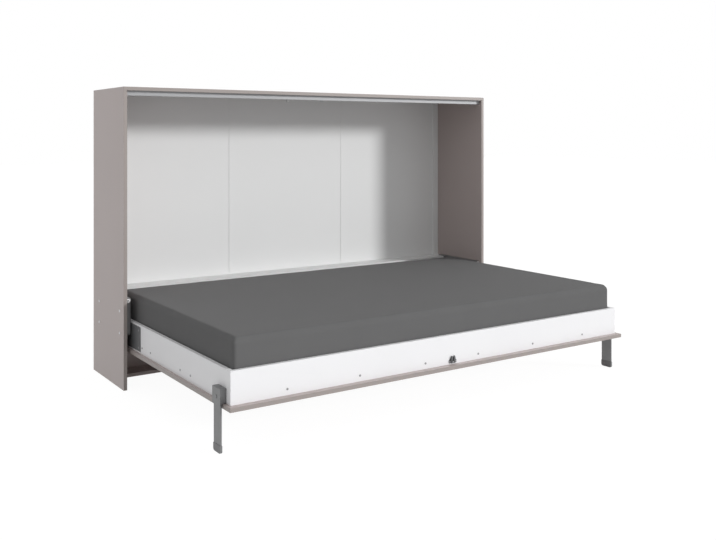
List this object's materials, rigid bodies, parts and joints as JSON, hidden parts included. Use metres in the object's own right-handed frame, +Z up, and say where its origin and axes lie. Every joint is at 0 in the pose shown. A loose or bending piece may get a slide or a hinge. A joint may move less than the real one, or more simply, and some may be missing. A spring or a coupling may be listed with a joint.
{
  "type": "folding wall bed",
  "caption": "Horizontal wall bed that folds down over its long side out of a shallow cabinet, with a mattress in a boxed frame, spring hinge housings, swinging flat legs and a catch.",
  "frame": {"origin": "on the floor, under the middle of the open bed and its cabinet, at the bounding box's bottom centre", "axes": "+X along the bed to the right seen from its foot side in front, +Y back towards the wall behind the cabinet, +Z up; the object is stored with the bed open and its legs on the floor"},
  "size_m": [2.131, 1.44, 1.347],
  "materials": {
    "taupe_board": "matt taupe foil on chipboard",
    "white_board": "matt white foil on chipboard",
    "light_sheet": "smooth light grey hardboard",
    "raw_wood": "plain sanded wood",
    "grey_ticking": "fine dark grey knit",
    "webbing": "woven tape",
    "grey_steel": "satin grey powder coat",
    "dark_steel": "satin dark grey coat",
    "zinc_steel": "bright zinc plate",
    "aluminium": "satin anodised",
    "white_plastic": "matt white",
    "pale_plastic": "matt light grey",
    "grey_plastic": "matt grey",
    "black_plastic": "matt black",
    "taupe_plastic": "matt taupe"
  },
  "bodies": {
    "cabinet": {"left_side_panel": "taupe_board", "right_side_panel": "taupe_board", "top_panel": "taupe_board", "bottom_panel": "taupe_board", "rear_crossboard": "taupe_board", "rear_shelf": "light_sheet", "back_panel_left": "light_sheet", "back_panel_middle": "light_sheet", "back_panel_right": "light_sheet", "back_joint_strips": "pale_plastic", "corner_battens": "light_sheet", "top_rear_rail": "light_sheet", "stop_rail": "aluminium", "wall_bracket": "zinc_steel", "wall_bracket_cap": "white_plastic", "catch_tongue": "zinc_steel", "panel_dowels": "raw_wood", "cam_bolts": "zinc_steel", "cam_locks": "taupe_plastic", "left_hinge_base": "dark_steel", "right_hinge_base": "dark_steel", "left_hinge_cover": "grey_steel", "right_hinge_cover": "grey_steel", "pivot_bushes": "black_plastic", "hinge_bolts": "zinc_steel", "spring_anchors": "zinc_steel", "tension_rods": "zinc_steel", "rod_bushes": "white_plastic", "left_spring_pack": "zinc_steel", "right_spring_pack": "zinc_steel", "cabinet_screws": "zinc_steel"},
    "bed": {"base_board": "taupe_board", "frame_front_board": "white_board", "frame_back_board": "white_board", "frame_left_board": "white_board", "frame_right_board": "white_board", "slat_battens": "raw_wood", "middle_beam": "raw_wood", "slats": "raw_wood", "slat_straps": "webbing", "mattress": "grey_ticking", "left_bed_plate": "dark_steel", "right_bed_plate": "dark_steel", "pivot_shafts": "zinc_steel", "spring_levers": "dark_steel", "left_leg_bracket": "grey_steel", "right_leg_bracket": "grey_steel", "leg_pins": "grey_steel", "catch_plate": "dark_steel", "catch_pins": "dark_steel", "catch_spring": "zinc_steel", "bed_screws": "zinc_steel"},
    "left_yoke": {"left_spring_yoke": "zinc_steel"},
    "right_yoke": {"right_spring_yoke": "zinc_steel"},
    "left_leg": {"left_leg": "grey_steel", "left_leg_shoe": "grey_plastic"},
    "right_leg": {"right_leg": "grey_steel", "right_leg_shoe": "grey_plastic"},
    "left_jaw": {"left_catch_jaw": "dark_steel"},
    "right_jaw": {"right_catch_jaw": "dark_steel"}
  },
  "joints": [
    {"name": "bed_fold", "type": "hinge", "parent": "cabinet", "child": "bed", "pos_m": [0, 0.369, 0.238], "axis": [-1, 0, 0], "range_deg": [0, 90], "deforming": ["left_spring_pack", "right_spring_pack"]},
    {"name": "left_leg_swing", "type": "hinge", "parent": "bed", "child": "left_leg", "pos_m": [-1.0365, -0.628, 0.1995], "axis": [1, 0, 0], "range_deg": [0, 90]},
    {"name": "left_yoke_turn", "type": "hinge", "parent": "bed", "child": "left_yoke", "pos_m": [-1.033, 0.324, 0.313], "axis": [1, 0, 0], "range_deg": [0, 104]},
    {"name": "left_jaw_turn", "type": "hinge", "parent": "bed", "child": "left_jaw", "pos_m": [-0.0073, -0.6974, 0.189], "axis": [0, -1, 0], "range_deg": [0, 10], "stiffness_Nm_per_rad": 0.5, "deforming": ["catch_spring"]},
    {"name": "right_leg_swing", "type": "hinge", "parent": "bed", "child": "right_leg", "pos_m": [1.0365, -0.628, 0.1995], "axis": [1, 0, 0], "range_deg": [0, 90]},
    {"name": "right_yoke_turn", "type": "hinge", "parent": "bed", "child": "right_yoke", "pos_m": [1.033, 0.324, 0.313], "axis": [1, 0, 0], "range_deg": [0, 104]},
    {"name": "right_jaw_turn", "type": "hinge", "parent": "bed", "child": "right_jaw", "pos_m": [0.0073, -0.6974, 0.189], "axis": [0, 1, 0], "range_deg": [0, 10], "stiffness_Nm_per_rad": 0.5, "deforming": ["catch_spring"]}
  ],
  "couplings": [
    {"joint": "left_leg_swing", "follows": "bed_fold", "ratio": 1},
    {"joint": "left_yoke_turn", "follows": "bed_fold", "ratio": 1.1252},
    {"joint": "right_leg_swing", "follows": "bed_fold", "ratio": 1},
    {"joint": "right_yoke_turn", "follows": "bed_fold", "ratio": 1.1252}
  ]
}
